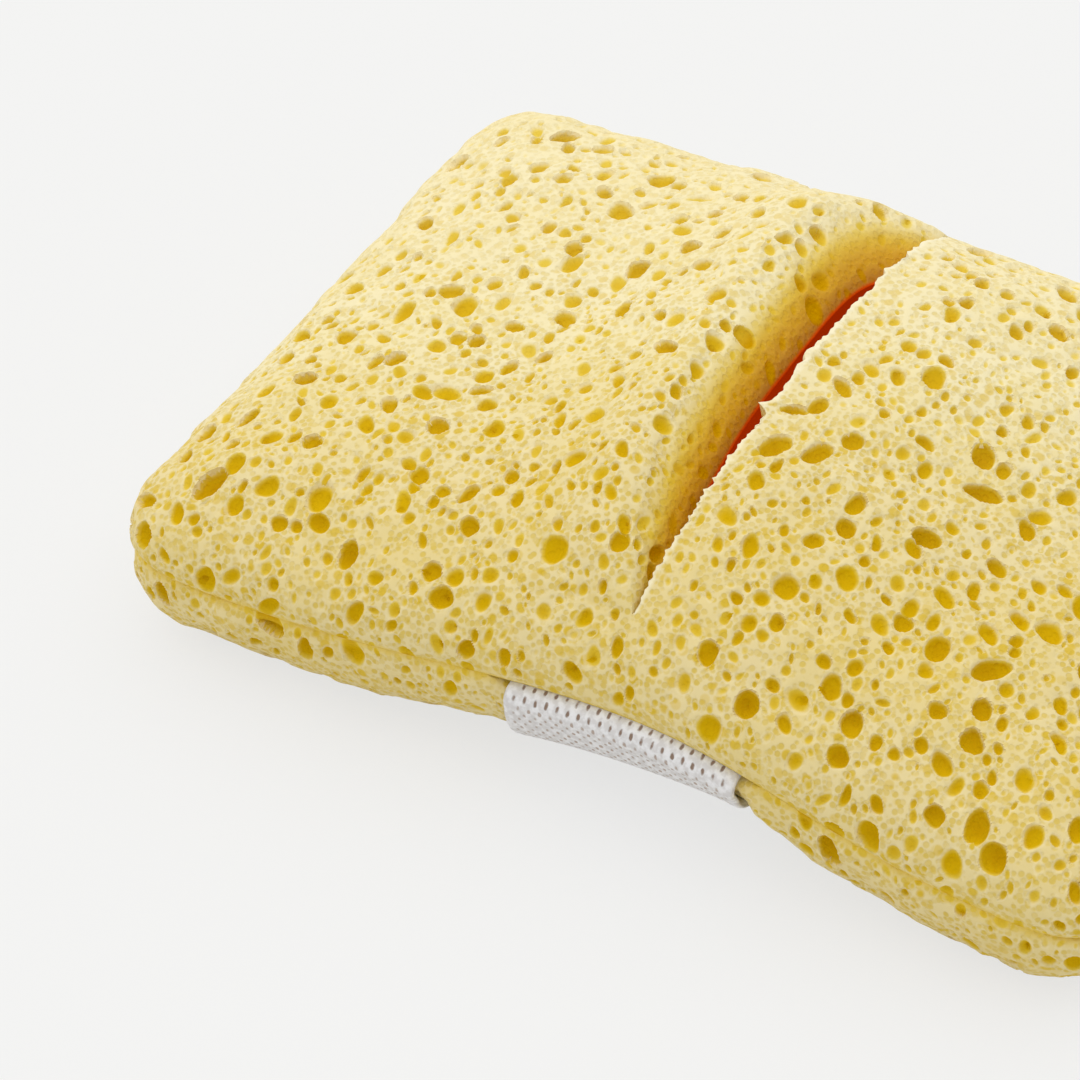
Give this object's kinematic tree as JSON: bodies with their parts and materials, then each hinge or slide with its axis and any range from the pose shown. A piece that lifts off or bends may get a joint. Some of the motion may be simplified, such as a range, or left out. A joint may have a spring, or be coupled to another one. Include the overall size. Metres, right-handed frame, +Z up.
{
  "type": "bath sponge mitt",
  "caption": "Arched bath sponge of two foam layers sewn round the rim, with a slit into the pocket between them and an elastic strap underneath.",
  "frame": {"origin": "on the surface that it stands on, under the middle of the mitt", "axes": "+X along the mitt, +Y across it towards the back end of the slit, +Z up"},
  "size_m": [0.184, 0.134, 0.0517],
  "materials": {
    "foam": "soft open-cell sponge foam, pale yellow with golden pores",
    "strap": "white knitted elastic"
  },
  "bodies": {
    "root": {"upper_layer": "foam", "lower_layer": "foam", "hand_strap": "strap"}
  },
  "joints": []
}
